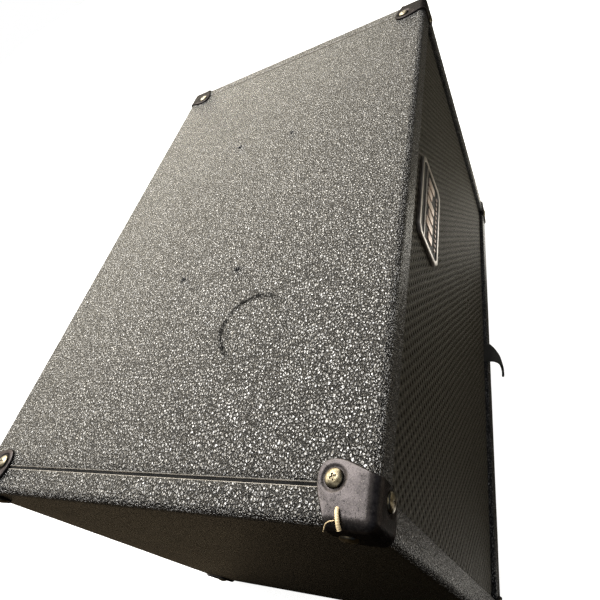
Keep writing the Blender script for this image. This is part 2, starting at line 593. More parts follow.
def rim_profile(y_lines, rear_turn):
    """Outer and inner (d, y) points and normals from the front inner skin to the rear one."""
    out, inn, nrm = [], [], []

    def add(o, i, n):
        out.append(o); inn.append(i); nrm.append(n)

    def half(turn, mirror, lines):
        seq = []
        for y in (turn, turn * 0.55, 6.5, 3.0):
            seq.append(((LIP, y), (LIP - SKIN, y), (-1, 0)))
        r = 1.7
        for k in range(0, 6):
            a = math.pi / 2 * k / 5
            seq.append(((LIP - r + r * math.cos(a), r - r * math.sin(a)),
                        (LIP - r + (r - SKIN) * math.cos(a), r - (r - SKIN) * math.sin(a)),
                        (-math.cos(a), -math.sin(a))))
        for d in (18.2, 15.6, 13.0, 10.4, 8.0):
            seq.append(((d, 0), (d, SKIN), (0, -1)))
        for k in range(0, 11):
            a = math.pi / 2 * k / 10
            seq.append(((R_EDGE - R_EDGE * math.sin(a), R_EDGE - R_EDGE * math.cos(a)),
                        (R_EDGE - (R_EDGE - SKIN) * math.sin(a), R_EDGE - (R_EDGE - SKIN) * math.cos(a)),
                        (math.sin(a), -math.cos(a))))
        if mirror:
            seq = [((o[0], DEPTH - o[1]), (i[0], DEPTH - i[1]), (n[0], -n[1])) for o, i, n in seq][::-1]
        return seq

    front = half(23.6, False, None)
    rear = half(rear_turn, True, None)
    for o, i, n in front:
        add(o, i, n)
    for y in y_lines:
        add((0, y), (SKIN, y), (1, 0))
    for o, i, n in rear:
        add(o, i, n)
    return np.array(out), np.array(inn), np.array(nrm)


def covering(name, stations, y_lines, mats, replaces, seam_ends):
    out, inn, nrm = rim_profile(y_lines, 25.9)
    n, m = len(stations), len(out)
    V = np.zeros((n, m, 3)); W = np.zeros((n, m, 3)); N = np.zeros((n, m, 3))
    for i, st in enumerate(stations):
        for j in range(m):
            x, z, nx, nz = station_point(st, out[j, 0])
            V[i, j] = (x, YF + out[j, 1], z)
            N[i, j] = (nrm[j, 0] * nx, nrm[j, 1], nrm[j, 0] * nz)
            x, z, _, _ = station_point(st, inn[j, 0])
            W[i, j] = (x, YF + inn[j, 1], z)
    P = V.reshape(-1, 3).copy()
    Nf = N.reshape(-1, 3)
    disp = np.zeros(len(P)); soot = np.zeros(len(P)); torn = np.zeros(len(P))
    # gentle unevenness of the board and glue under the sheet, calm at the rims
    disp += 0.20 * (value_noise(P, 70.0, 3) - 0.5) + 0.10 * (value_noise(P, 22.0, 5) - 0.5)
    disp += 0.05 * (value_noise(P, 7.0, 9) - 0.5)
    top = P[:, 2] > ZT - 0.6
    for s, v, ang in HOLES:
        dx, dy = P[:, 0] - (s - HX), P[:, 1] - (v + YF)
        r = np.hypot(dx, dy)
        near = top & (r < 16)
        wob = 1 + 0.22 * np.sin(3 * np.arctan2(dy, dx) + ang * 2)
        rr = r * wob
        d = 0.75 * np.exp(-((rr - 3.7) / 1.25) ** 2) - 1.0 * (1 - smoothstep(1.4, 2.6, rr)) - 0.35 * np.exp(-(r / 8.5) ** 2)
        tx, ty = math.cos(ang), math.sin(ang)
        flap = np.exp(-(((dx - 2.9 * tx) ** 2 + (dy - 2.9 * ty) ** 2) / 1.7 ** 2))
        d += 0.75 * flap
        disp[near] += d[near]
        soot[near] = np.maximum(soot[near], 1 - smoothstep(1.5, 2.5, rr[near]))
        torn[near] = np.maximum(torn[near], 0.85 * smoothstep(0.55, 0.9, flap[near]))
    if any(k == "left" for k, _ in stations):
        ex, ey = P[:, 0] + HX, P[:, 1] - YF
        edge = (ex < 9) & (ey < 9)
        for u, size, depth in NICKS:
            q = (P[:, 2] - (ZT - u)) / size
            band = np.exp(-q ** 2) * np.exp(-(((ex - 1.2) ** 2 + (ey - 2.6) ** 2) / 2.6 ** 2))
            disp[edge] -= depth * band[edge]
            torn[edge] = np.maximum(torn[edge], 0.9 * smoothstep(0.45, 0.85, band[edge]))
    # the cut edges at the seam curl down a little
    D = disp.reshape(n, m)
    if seam_ends:
        D[0] -= 0.42; D[-1] -= 0.42
        D[1] += 0.06; D[-2] += 0.06
    D[:, :4] = 0; D[:, -4:] = 0
    V = V + N * D[..., None]
    verts = np.vstack([V.reshape(-1, 3), W.reshape(-1, 3)])
    k = n * m
    f_out = grid_faces(n, m)
    f_in = grid_faces(n, m, k, flip=True)
    faces = [f_out, f_in]
    mat = [np.zeros(len(f_out), int), np.zeros(len(f_in), int)]
    cols = (np.arange(len(f_out)) // (m - 1))
    if seam_ends:
        mat[0][(cols == 0) | (cols == n - 2)] = 1
    j = np.arange(m - 1); i = np.arange(n - 1)
    strip = lambda a, b, c, d: np.stack([a, b, c, d], -1)
    e0 = strip(j, j + 1, k + j + 1, k + j)
    b0 = (n - 1) * m
    e1 = strip(b0 + j + 1, b0 + j, k + b0 + j, k + b0 + j + 1)
    e2 = strip((i + 1) * m, i * m, k + i * m, k + (i + 1) * m)
    e3 = strip(i * m + m - 1, (i + 1) * m + m - 1, k + (i + 1) * m + m - 1, k + i * m + m - 1)
    for e, mt in ((e0, 1), (e1, 1), (e2, 0), (e3, 0)):
        faces.append(e); mat.append(np.full(len(e), mt))
    faces = np.vstack(faces); mat = np.concatenate(mat)
    vol = volume_sign(verts, faces)
    if vol < 0:
        faces = faces[:, ::-1]
    a = np.zeros(len(verts)); a[:k] = soot
    b = np.zeros(len(verts)); b[:k] = torn
    return new_object(name, verts, faces, mats, "cabinet", replaces, face_mat=mat,
                      attrs={"soot": a, "torn": b}, sharp_angle=50)


def volume_sign(verts, faces):
    v = np.asarray(verts)
    f = np.asarray(faces)
    p0 = v[f[:, 0]]
    total = 0.0
    for k in range(1, f.shape[1] - 1):
        total += np.einsum("ij,ij->i", p0, np.cross(v[f[:, k]], v[f[:, k + 1]])).sum()
    return 1 if total > 0 else -1


STEP = 6.0
FINE = 0.8


def dense(lo, hi):
    return list(np.arange(lo, hi, FINE)) + [hi]


y_top = fill([R_EDGE + 3, DEPTH - R_EDGE - 3] + dense(132, 158) + dense(205, 222), STEP)
x_top = fill([-282.75, -282.3, 282.3, 282.75] + dense(194 - HX, 211 - HX) + dense(393 - HX, 416 - HX), STEP)
covering("top_covering", [("top", x) for x in x_top], y_top, [M["vinyl_top"], M["cut"]], ["vinyl_top"], True)

seam = 285.0
straight = HX - R_EDGE
up = HZ - R_EDGE
arc = lambda a0, a1: [a0 + (a1 - a0) * k / 8 for k in range(1, 8)]
st = [("top", x) for x in fill([-straight, -seam - 0.45, -seam], 5)][::-1]
st += [("tl", a) for a in arc(math.pi / 2, math.pi)]
zn = [ZT - u - ZC for u, _, _ in NICKS]
z_left = [up, -up]
for z in zn:
    z_left += dense(z - 4, z + 4)
st += [("left", z) for z in fill(z_left, STEP)[::-1]]
st += [("bl", a) for a in arc(math.pi, 1.5 * math.pi)]
st += [("bottom", x) for x in fill([-straight, straight], STEP * 2)]
st += [("br", a) for a in arc(-math.pi / 2, 0)]
st += [("right", z) for z in fill([-up, up], STEP)]
st += [("tr", a) for a in arc(0, math.pi / 2)]
st += [("top", x) for x in fill([seam, seam + 0.45, straight], 5)][::-1]
covering("wrap_covering", st, fill([R_EDGE + 3, DEPTH - R_EDGE - 3], STEP), [M["vinyl"], M["cut"]], ["vinyl_wrap"], True)


def ribbon(name, path, half_w, half_t, mats, body, segs=2):
    """Closed flat strip along Y-directed paths: path is a list of (x, y, z) with width in X and thickness in Z."""
    P = np.asarray(path, dtype=float)
    verts = []
    for x, y, z in P:
        verts += [(x - half_w, y, z - half_t), (x + half_w, y, z - half_t), (x + half_w, y, z + half_t), (x - half_w, y, z + half_t)]
    faces = []
    n = len(P)
    for i in range(n - 1):
        for k in range(4):
            a, b = 4 * i + k, 4 * i + (k + 1) % 4
            faces.append([a, b, b + 4, a + 4])
    faces += [[3, 2, 1, 0], [4 * n - 4, 4 * n - 3, 4 * n - 2, 4 * n - 1]]
    faces = orient(verts, faces)
    return new_object(name, verts, faces, mats, body, smooth=False)


for side, sx in (("left", -1), ("right", 1)):
    ys = np.linspace(YF + 8, YB - 8, 60)
    wob = 0.12 * (value_noise(np.c_[ys, ys * 0, ys * 0], 9.0, 7) - 0.5)
    ribbon(f"seam_glue_{side}", [(sx * (HX - 21.12) + w, y, ZT - 1.0 + w) for y, w in zip(ys, wob)], 0.95, 0.16,
           [M["glue"]], "cabinet")


# ---------------------------------------------------------------- corner protectors
BIG = [(28.3, 0), (29.4, 4.5), (31.6, 10), (34.2, 16), (35.7, 22), (35.6, 27.5), (33.2, 32.4),
       (28.5, 35.2), (22.5, 35.7), (16, 34.2), (10, 31.6), (4.5, 29.4), (0, 28.3)]
SMALL = [(28.3, 0), (28.2, 5), (28.0, 10), (27.4, 15), (26.4, 19.5), (24.6, 22.8), (22.0, 25.2),
         (18.5, 26.8), (14.5, 27.6), (10, 28.0), (5, 28.2), (0, 28.3)]
SCREW_AT = {"flat": (24.5, 25.0), "face": (19.0, 17.5), "side": (20.0, 17.0)}


def cap_patch(outline, centre, n):
    curve = catmull(outline, 401)
    mid = len(outline) // 2
    # split the outline where it is farthest along the diagonal
    kd = int(np.argmax(curve.sum(1)))
    right, topc = curve[:kd + 1], curve[kd:][::-1]

    def samp(c, t):
        s = np.r_[0, np.cumsum(np.linalg.norm(np.diff(c, axis=0), axis=1))]
        s /= s[-1]
        return np.c_[np.interp(t, s, c[:, 0]), np.interp(t, s, c[:, 1])]

    span = 33.0
    base = np.linspace(0, 1 - 1.6 / span, n)
    rim = 1 - np.array([1.15, 0.75, 0.42, 0.18, 0.04, 0.0]) / span
    g = np.r_[base, rim]
    E = 28.3
    L = samp(np.array([(0, 0), (0, E)]), g)
    B = samp(np.array([(0, 0), (E, 0)]), g)
    Rr = samp(right, g)
    T = samp(topc, g)
    xi, eta = np.meshgrid(g, g, indexing="ij")
    c00, c10, c01, c11 = np.array((0, 0)), right[0], topc[0], right[-1]
    P = ((1 - eta)[..., None] * B[:, None, :] + eta[..., None] * T[:, None, :]
         + (1 - xi)[..., None] * L[None, :, :] + xi[..., None] * Rr[None, :, :]
         - ((1 - xi) * (1 - eta))[..., None] * c00 - (xi * (1 - eta))[..., None] * c10
         - ((1 - xi) * eta)[..., None] * c01 - (xi * eta)[..., None] * c11)
    delta = np.minimum(1 - xi, 1 - eta) * span
    ea, eb = np.exp(-(P[..., 0] / 10.5) ** 2), np.exp(-(P[..., 1] / 10.5) ** 2)
    dome_h = 0.40 - 0.80 * (ea + eb - ea * eb)
    h = 1.95 + dome_h * smoothstep(0.0, 6.0, delta) - 0.95 * (1 - np.clip(delta / 1.15, 0, 1)) ** 2.4
    h = np.where(delta <= 0.001, 0.75, h)
    r = np.hypot(P[..., 0] - centre[0], P[..., 1] - centre[1])
    h = h - 0.95 * (1 - smoothstep(5.8, 8.6, r)) * smoothstep(0.0, 1.6, delta + 0.25)
    return P, h, delta


def cap_surface(face, P, h, R=5.4):
    a, b = P[..., 0], P[..., 1]
    ta = np.tan(np.pi / 4 * np.clip((R - a) / R, 0, 1))
    tb = np.tan(np.pi / 4 * np.clip((R - b) / R, 0, 1))
    d = np.stack([-ta, -tb, -np.ones_like(ta)], -1)
    d /= np.linalg.norm(d, axis=-1, keepdims=True)
    c = np.stack([np.maximum(a, R), np.maximum(b, R), np.full_like(a, R)], -1)
    Q = c + (R + h)[..., None] * d
    if face == "flat":       # a = s, b = v, depth = u
        return Q
    if face == "face":       # a = s, b = u, depth = v
        return Q[..., [0, 2, 1]]
    return Q[..., [2, 0, 1]]  # a = v, b = u, depth = s


def weld(verts, faces, tol=0.02):
    key = np.round(np.asarray(verts) / tol).astype(np.int64)
    uniq, first, inv = np.unique(key, axis=0, return_index=True, return_inverse=True)
    inv = inv.reshape(-1)
    out = []
    for f in faces:
        g = []
        for x in f:
            y = int(inv[x])
            if not g or (g[-1] != y):
                g.append(y)
        if len(g) > 1 and g[0] == g[-1]:
            g.pop()
        if len(set(g)) >= 3:
            out.append(g)
    return np.asarray(verts)[first], out, first


def build_cap(n):
    verts, faces, wear = [], [], []
    off = 0
    for face, outline in (("flat", BIG), ("face", SMALL), ("side", SMALL)):
        P, h, delta = cap_patch(outline, SCREW_AT[face], n)
        m = P.shape[0]
        Q = cap_surface(face, P, h).reshape(-1, 3)
        low = cap_surface(face, P, np.full_like(h, 0.12), R_EDGE).reshape(-1, 3)
        flip = face == "face"
        verts += [Q, low]
        k = m * m
        fo = grid_faces(m, m, off, flip=flip)
        fi = grid_faces(m, m, off + k, flip=not flip)
        faces += [fo, fi]
        # walls along the two outer borders
        j = np.arange(m - 1)
        a = off + (m - 1) * m + j
        w1 = np.stack([a, a + k, a + k + 1, a + 1], -1)
        b = off + j * m + m - 1
        w2 = np.stack([b + m, b + m + k, b + k, b], -1)
        if flip:
            w1, w2 = w1[:, ::-1], w2[:, ::-1]
        faces += [w1, w2]
        rim = np.exp(-((delta - 0.7) / 0.7) ** 2) * 0.55
        edge = np.exp(-(np.minimum(P[..., 0], P[..., 1]) / 4.0) ** 2) * 0.5
        wear += [np.maximum(rim, edge).reshape(-1), np.zeros(k)]
        off += 2 * k
    V = np.vstack(verts); F = np.vstack(faces); wear = np.concatenate(wear)
    V2, F2, first = weld(V, F.tolist())
    return V2, F2, wear[first]


def corner_signs(name):
    vert, face, side = name.split("_")
    return (-1 if side == "left" else 1), (-1 if face == "front" else 1), (-1 if vert == "bottom" else 1)


CORNERS = [f"{v}_{f}_{s}" for v in ("top", "bottom") for f in ("front", "rear") for s in ("left", "right")]
cap_v, cap_f, cap_w = build_cap(46)
cap_f_fixed = None


def local_to_world(P, sx, sy, sz):
    P = np.asarray(P, dtype=float)
    out = np.empty_like(P)
    out[:, 0] = sx * (HX - P[:, 0])
    out[:, 1] = (YF + P[:, 1]) if sy < 0 else (YB - P[:, 1])
    out[:, 2] = (ZT - P[:, 2]) if sz > 0 else (ZB + P[:, 2])
    return out


for idx, name in enumerate(CORNERS):
    sx, sy, sz = corner_signs(name)
    W = local_to_world(cap_v, sx, sy, sz)
    # small dents, different on each corner; the underside and the rim stay put
    outer = np.abs(W - np.array([0, 0, 0])).sum(1) > 0
    nrm = W - np.array([sx * (HX - 14), (YF + 14) if sy < 0 else (YB - 14), (ZT - 14) if sz > 0 else (ZB + 14)])
    nrm /= np.linalg.norm(nrm, axis=1, keepdims=True)
    dent = 0.22 * (value_noise(W, 6.0, 20 + idx) - 0.6) + 0.10 * (value_noise(W, 2.2, 40 + idx) - 0.6)
    W = W + nrm * np.minimum(dent, 0.0)[:, None] * (cap_w < 2)[:, None]
    faces = orient(W, cap_f)
    new_object(f"protector_{name}", W, faces, [M["cap"]], "cabinet", [f"corner_cap_{name}"],
               attrs={"wear": cap_w}, sharp_angle=60)


# ---------------------------------------------------------------- cross-recess screws
def disc_grid(n, radius):
    """Square grid mapped to a disc, and the ring of border vertices in order."""
    t = np.linspace(-1, 1, n)
    A, B = np.meshgrid(t, t, indexing="ij")
    with np.errstate(divide="ignore", invalid="ignore"):
        big = np.abs(A) >= np.abs(B)
        r = np.where(big, np.abs(A), np.abs(B))
        ang = np.where(big, (np.pi / 4) * (B / np.where(A == 0, 1, A)), np.pi / 2 - (np.pi / 4) * (A / np.where(B == 0, 1, B)))
        sgn = np.where(big, np.sign(A), np.sign(B))
    X = radius * r * np.cos(ang) * sgn
    Y = radius * r * np.sin(ang) * sgn
    X[(A == 0) & (B == 0)] = 0; Y[(A == 0) & (B == 0)] = 0
    idx = np.arange(n * n).reshape(n, n)
    ring = list(idx[0, :]) + list(idx[1:, -1]) + list(idx[-1, -2::-1]) + list(idx[-2:0:-1, 0])
    return X, Y, ring


def screw_mesh(n, radius, height, shank_r, length, recess=1.35, arm=0.62, reach=2.45):
    X, Y, ring = disc_grid(n, radius)
    r = np.hypot(X, Y)
    Z = height * np.clip(1 - (r / (radius * 1.06)) ** 2, 0, 1) ** 0.62
    Z = np.maximum(Z, 0.0) * (height - 0.75) / height + 0.75 * np.clip((radius - r) / 0.5, 0, 1) ** 0.5
    ax = (1 - smoothstep(arm - 0.12, arm + 0.16, np.abs(X))) * (1 - smoothstep(reach - 0.5, reach + 0.1, np.abs(Y)))
    ay = (1 - smoothstep(arm - 0.12, arm + 0.16, np.abs(Y))) * (1 - smoothstep(reach - 0.5, reach + 0.1, np.abs(X)))
    mid = 1 - smoothstep(0.7, 1.25, r)
    cut = np.maximum(np.maximum(ax, ay) * 0.85, mid)
    groove = cut.copy()
    Z = Z - recess * cut
    Z = np.maximum(Z, 0.25)
    verts = [np.c_[X.reshape(-1), Y.reshape(-1), Z.reshape(-1)]]
    faces = grid_faces(n, n).tolist()
    prev = ring
    count = n * n
    ang = np.arctan2(Y.reshape(-1)[ring], X.reshape(-1)[ring])
    for rr, zz in ((radius, 0.42), (radius - 0.12, 0.14), (shank_r, 0.12), (shank_r, -length + 2.2), (0.3, -length)):
        cur = list(range(count, count + len(ring)))
        verts.append(np.c_[rr * np.cos(ang), rr * np.sin(ang), np.full(len(ring), zz)])
        for k in range(len(ring)):
            a, b = prev[k], prev[(k + 1) % len(ring)]
            c, d = cur[(k + 1) % len(ring)], cur[k]
            faces.append([a, d, c, b])
        prev = cur
        count += len(ring)
    faces.append(prev)
    V = np.vstack(verts)
    g = np.zeros(len(V)); g[:n * n] = groove.reshape(-1)
    return V, orient(V, faces), g


def place(V, origin, axis, spin):
    """Local +Z turned to the axis, spun about it, then moved."""
    z = np.array(axis, dtype=float); z /= np.linalg.norm(z)
    h = np.array([0, 0, 1.0]) if abs(z[2]) < 0.9 else np.array([1.0, 0, 0])
    x = np.cross(h, z); x /= np.linalg.norm(x)
    y = np.cross(z, x)
    c, s = math.cos(spin), math.sin(spin)
    x2, y2 = c * x + s * y, -s * x + c * y
    return np.asarray(origin) + V[:, :1] * x2 + V[:, 1:2] * y2 + V[:, 2:] * z


sv, sf, sg = screw_mesh(49, 5.9, 3.0, 1.7, 14.3, recess=0.70, arm=0.5, reach=2.2)
rng = np.random.default_rng(11)
for name in CORNERS:
    sx, sy, sz = corner_signs(name)
    for which in ("flat", "face", "side"):
        a, b = SCREW_AT[which]
        loc = {"flat": (a, b, -0.8), "face": (a, -0.8, b), "side": (-0.8, a, b)}[which]
        axis = {"flat": (0, 0, sz), "face": (0, sy, 0), "side": (sx, 0, 0)}[which]
        o = local_to_world(np.array([loc]), sx, sy, sz)[0]
        V = place(sv, o, axis, rng.uniform(0, math.pi))
        new_object(f"cap_screw_{name}_{which}", V, sf, [M["screw"]], "cabinet",
                   [f"screw_{name}_{which}"], attrs={"groove": sg}, sharp_angle=70)


# ---------------------------------------------------------------- lathe and rounded plates
def lathe(name, profile, centre, mats, body, replaces=(), seg=128, axis="y", smooth_profile=False, sharp=35, modulate=None):
    """Closed surface of revolution. profile is (radius, along axis); ends on the axis or back at its start."""
    pr = np.asarray(profile, dtype=float)
    loop = np.allclose(pr[0], pr[-1]) and pr[0, 0] > 0
    if loop:
        pr = pr[:-1]
    ang = np.linspace(0, 2 * math.pi, seg, endpoint=False)
    verts, index, faces = [], [], []
    for r, y in pr:
        if r < 1e-6:
            index.append([len(verts)] * seg)
            verts.append((0, y, 0))
        else:
            row = []
            for a in ang:
                rr, yy = (r, y) if modulate is None else modulate(r, y, a)
                row.append(len(verts)); verts.append((rr * math.cos(a), yy, rr * math.sin(a)))
            index.append(row)
    m = len(index)
    for j in range(m if loop else m - 1):
        p, q = index[j], index[(j + 1) % m]
        for i in range(seg):
            k = (i + 1) % seg
            f = [p[i], p[k], q[k], q[i]]
            g = []
            for x in f:
                if x not in g:
                    g.append(x)
            if len(g) >= 3:
                faces.append(g)
    V = np.array(verts, dtype=float)
    if axis == "z":
        V = V[:, [0, 2, 1]]
    V = V + np.array(centre)
    return new_object(name, V, orient(V, faces), mats, body, replaces, sharp_angle=sharp)


def arc_points(cx, cy, r, a0, a1, n):
    return [(cx + r * math.cos(a0 + (a1 - a0) * k / n), cy + r * math.sin(a0 + (a1 - a0) * k / n)) for k in range(n + 1)]


def rounded_loop(hw, hh, r, n=8):
    pts = []
    for cx, cy, a in ((hw - r, hh - r, 0), (-hw + r, hh - r, 90), (-hw + r, -hh + r, 180), (hw - r, -hh + r, 270)):
        for k in range(n + 1):
            t = math.radians(a + 90 * k / n)
            pts.append((cx + r * math.cos(t), cy + r * math.sin(t)))
    return np.array(pts)


def loft(name, loops, mats, body, replaces=(), closed=False, cap_ends=True, sharp=35, face_mat=None, smooth=True):
    """Surface through loops of equal length. closed joins the last loop to the first."""
    n = len(loops[0]); m = len(loops)
    V = np.vstack(loops)
    faces = []
    for j in range(m if closed else m - 1):
        for i in range(n):
            k = (i + 1) % n
            a, b = j * n + i, j * n + k
            c, d = ((j + 1) % m) * n + k, ((j + 1) % m) * n + i
            faces.append([a, b, c, d])
    if not closed and cap_ends:
        faces.append(list(range(n))[::-1])
        faces.append([(m - 1) * n + i for i in range(n)])
    return new_object(name, V, orient(V, faces), mats, body, replaces, sharp_angle=sharp, smooth=smooth)


def xz_loop(pts, y, cx=0.0, cz=0.0):
    p = np.asarray(pts)
    return np.c_[p[:, 0] + cx, np.full(len(p), y), p[:, 1] + cz]


# ---------------------------------------------------------------- grille cloth
glo, ghi = box_mm("grille_cloth")
gcx, gcz = (glo[0] + ghi[0]) / 2, (glo[2] + ghi[2]) / 2
ghx, ghz = (ghi[0] - glo[0]) / 2, (ghi[2] - glo[2]) / 2
NOTCH_X = (-8.0, 22.0)


def grille_sheet():
    """Cloth pulled over the frame: a front sheet in rings, a rounded edge and a turned-in skirt."""
    def ring(inset, y, radius):
        r = max(radius, 0.8)
        base = rounded_loop(ghx - inset, ghz - inset, r, 10)
        # even out the spacing of the long sides
        pts = []
        for i in range(len(base)):
            a, b = base[i], base[(i + 1) % len(base)]
            d = np.linalg.norm(b - a)
            cnt = 40 if (i % 11 == 10 and abs(b[0] - a[0]) > abs(b[1] - a[1])) else (24 if i % 11 == 10 else 1)
            for k in range(cnt):
                pts.append(a + (b - a) * k / cnt)
        return np.c_[np.array(pts)[:, 0] + gcx, np.full(len(pts), y), np.array(pts)[:, 1] + gcz]
    yf = glo[1]
    rows = [ring(0.0, ghi[1], 12)]
    rows.append(ring(0.0, yf + 5, 12))
    for k in range(7):
        a = math.pi / 2 * k / 6
        rows.append(ring(1.6 - 1.6 * math.cos(a), yf + 1.6 - 1.6 * math.sin(a), 12))
    for inset, rad in ((6, 9), (12, 6), (20, 3), (30, 1.5)):
        rows.append(ring(inset, yf, rad))
    last = rows[-1]
    for t in (0.8, 0.6, 0.4, 0.2, 0.06):
        q = last.copy()
        q[:, 0] = gcx + (last[:, 0] - gcx) * t
        q[:, 2] = gcz + (last[:, 2] - gcz) * t
        rows.append(q)
    return rows


rows = grille_sheet()
npt = len(rows[0])
outer = np.vstack(rows)
ripple = 0.16 * (value_noise(outer, 40.0, 31) - 0.5) + 0.10 * (value_noise(outer, 12.0, 32) - 0.5)
flat = outer[:, 1] < glo[1] + 0.4
outer[flat, 1] += np.abs(ripple[flat])
inner_rows = []
for j, r0 in enumerate(rows):
    q = r0.copy()
    q[:, 0] = gcx + (r0[:, 0] - gcx) * (1 - 0.7 / ghx)
    q[:, 2] = gcz + (r0[:, 2] - gcz) * (1 - 0.7 / ghz)
    q[:, 1] = np.maximum(r0[:, 1], glo[1] + 0.75) if j > 0 else r0[:, 1]
    inner_rows.append(q)
inner_v = np.vstack(inner_rows)
V = np.vstack([outer, inner_v])
k = len(outer)
F = []
nr = len(rows)
for j in range(nr - 1):
    for i in range(npt):
        i2 = (i + 1) % npt
        a, b, c, d = j * npt + i, j * npt + i2, (j + 1) * npt + i2, (j + 1) * npt + i
        F.append([a, b, c, d])
        F.append([k + d, k + c, k + b, k + a])
for i in range(npt):
    i2 = (i + 1) % npt
    F.append([i2, i, k + i, k + i2])
F.append([(nr - 1) * npt + i for i in range(npt)])
F.append([k + (nr - 1) * npt + i for i in range(npt)][::-1])
V_all, F_all = V, orient(V, F)
new_object("grille_fabric", V_all, F_all, [M["cloth"]], "grille", ["grille_cloth"], sharp_angle=60)


# ---------------------------------------------------------------- badge
blo, bhi = box_mm("badge")
bcx, bcz = (blo[0] + bhi[0]) / 2, (blo[2] + bhi[2]) / 2
bhx, bhz = (bhi[0] - blo[0]) / 2, (bhi[2] - blo[2]) / 2


def clipped_loop(hw, hh, c, r=1.6, n=4):
    """Outline with clipped corners whose vertices are rounded a little."""
    raw = [(hw, -hh + c), (hw, hh - c), (hw - c, hh), (-hw + c, hh), (-hw, hh - c), (-hw, -hh + c), (-hw + c, -hh), (hw - c, -hh)]
    pts = []
    m = len(raw)
    for i in range(m):
        p0, p1, p2 = np.array(raw[i - 1], float), np.array(raw[i], float), np.array(raw[(i + 1) % m], float)
        a = p1 + (p0 - p1) / np.linalg.norm(p0 - p1) * r
        b = p1 + (p2 - p1) / np.linalg.norm(p2 - p1) * r
        for k2 in range(n + 1):
            t = k2 / n
            pts.append((1 - t) ** 2 * a + 2 * t * (1 - t) * p1 + t * t * b)
    return np.array(pts)


def badge_loops(hw, hh, c, y0, y1, bevel=0.5):
    out = [xz_loop(clipped_loop(hw, hh, c), y1, bcx, bcz)]
    for k2 in range(5):
        a = math.pi / 2 * k2 / 4
        i = bevel * (1 - math.cos(a))
        out.append(xz_loop(clipped_loop(hw - i, hh - i, c - i * 0.4), y0 + bevel - bevel * math.sin(a), bcx, bcz))
    return out


b0, b1 = blo[1], bhi[1]
rim = 4.3
outer_l = badge_loops(bhx, bhz, 6.5, b0, b1, 0.7)
inner_l = []
for k2 in range(5):
    a = math.pi / 2 * k2 / 4
    i = rim - 0.5 * (1 - math.sin(a)) * 1.0
    inner_l.append(xz_loop(clipped_loop(bhx - i, bhz - i, 5.2), b0 + 0.5 * (1 - math.cos(a)), bcx, bcz))
inner_l.append(xz_loop(clipped_loop(bhx - rim, bhz - rim, 5.2), b0 + 1.5, bcx, bcz))
loops = outer_l + inner_l
loft("badge_rim", loops, [M["badge"]], "grille", ["badge"], closed=False, cap_ends=True, sharp=30)


def bar(name, cx, cz, hw, hh, y0, y1, r, mat, bevel=0.35):
    loops2 = [xz_loop(rounded_loop(hw, hh, r, 5), y1, cx, cz)]
    for k3 in range(4):
        a = math.pi / 2 * k3 / 3
        i = bevel * (1 - math.cos(a))
        loops2.append(xz_loop(rounded_loop(hw - i, hh - i, max(r - i, 0.15), 5), y0 + bevel - bevel * math.sin(a), cx, cz))
    return loft(name, loops2, [mat], "grille", sharp=40)


# recessed black field in the rim, and the bars that stand on it
loft("badge_field", [xz_loop(clipped_loop(bhx - rim - 0.05, bhz - rim - 0.05, 5.1), b0 + 1.9, bcx, bcz),
                     xz_loop(clipped_loop(bhx - rim - 0.05, bhz - rim - 0.05, 5.1), b0 + 1.25, bcx, bcz)],
     [M["enamel"]], "grille", sharp=30)
bar("badge_divider", bcx, bcz + 14.2, bhx - rim - 0.4, 1.15, b0 + 0.35, b0 + 1.6, 0.6, M["badge"])
for i, (h, dz) in enumerate([(12, -3), (20, 1), (15, -2), (23, 0), (14, 3), (19, -1)]):
    bar(f"badge_bar_{i + 1}", bcx + (i - 2.5) * 13.8, bcz - 0.5 + dz, 4.9, h / 2, b0 + 0.3, b0 + 1.6, 1.6, M["mark"])
for i in range(12):
    bar(f"badge_dot_{i + 1}", bcx + (i - 5.5) * 6.4, bcz - 20.0, 1.6, 1.9, b0 + 0.4, b0 + 1.6, 1.3, M["mark"], 0.3)


# ---------------------------------------------------------------- pull tab
tlo, thi = box_mm("pull_tab")
TL, TR = -7.0, 21.0
LIPZ = ZB + LIP
sections = np.array([
    [19.7, 14.8, -1, 0, TL + .1, TR - .1], [19.7, 6.0, -1, 0, TL + .1, TR - .1], [19.3, 1.6, -0.8, 0.6, TL + .1, TR - .1], [16.0, 1.15, 0, 1, TL + .1, TR - .1],
    [6.0, 1.15, 0, 1, TL + .1, TR - .1], [-2.5, 1.15, 0, 1, TL + .1, TR - .2], [-6, 0.6, -0.35, 0.94, TL + .1, TR - 3.6],
    [-9.8, -2.6, -0.72, 0.69, TL + .2, TR - 8], [-12.6, -7.6, -0.92, 0.39, TL + .2, TR - 13.0],
    [-14.2, -12.6, -0.97, 0.24, TL - 0.8, TR - 20.5], [-15.0, -17.5, -1, 0, TL - 4.6, TR - 27.5],
    [-14.7, -21.5, -1, -0.06, TL - 8.0, TR - 32.6], [-14.15, -24.3, -0.98, -0.17, TL - 9.6, TR - 35.6]])
S = catmull(sections, 70)
cols = 17
ht = 0.72
front, back = [], []
for y, z, ny, nz, x0, x1 in S:
    L = math.hypot(ny, nz); ny, nz = ny / L, nz / L
    tip = 1.0 + 1.1 * float(smoothstep(-6.0, -15.0, y)) * float(smoothstep(0, -18, z)) if y < -6 else 1.0
    for c in range(cols):
        t = c / (cols - 1)
        x = x0 + (x1 - x0) * t
        edge = min(t, 1 - t) * (x1 - x0)
        th = ht * math.sqrt(max(0.0, 1 - max(0.0, 1 - edge / 0.7) ** 2)) if edge < 0.7 else ht
        th = max(th, 0.12) * tip
        front.append((x, YF + y + ny * th, LIPZ + z + nz * th))
        back.append((x, YF + y - ny * th, LIPZ + z - nz * th))
n = len(S)
V = np.array(front + back)
k = n * cols
F = grid_faces(n, cols).tolist() + grid_faces(n, cols, k, flip=True).tolist()
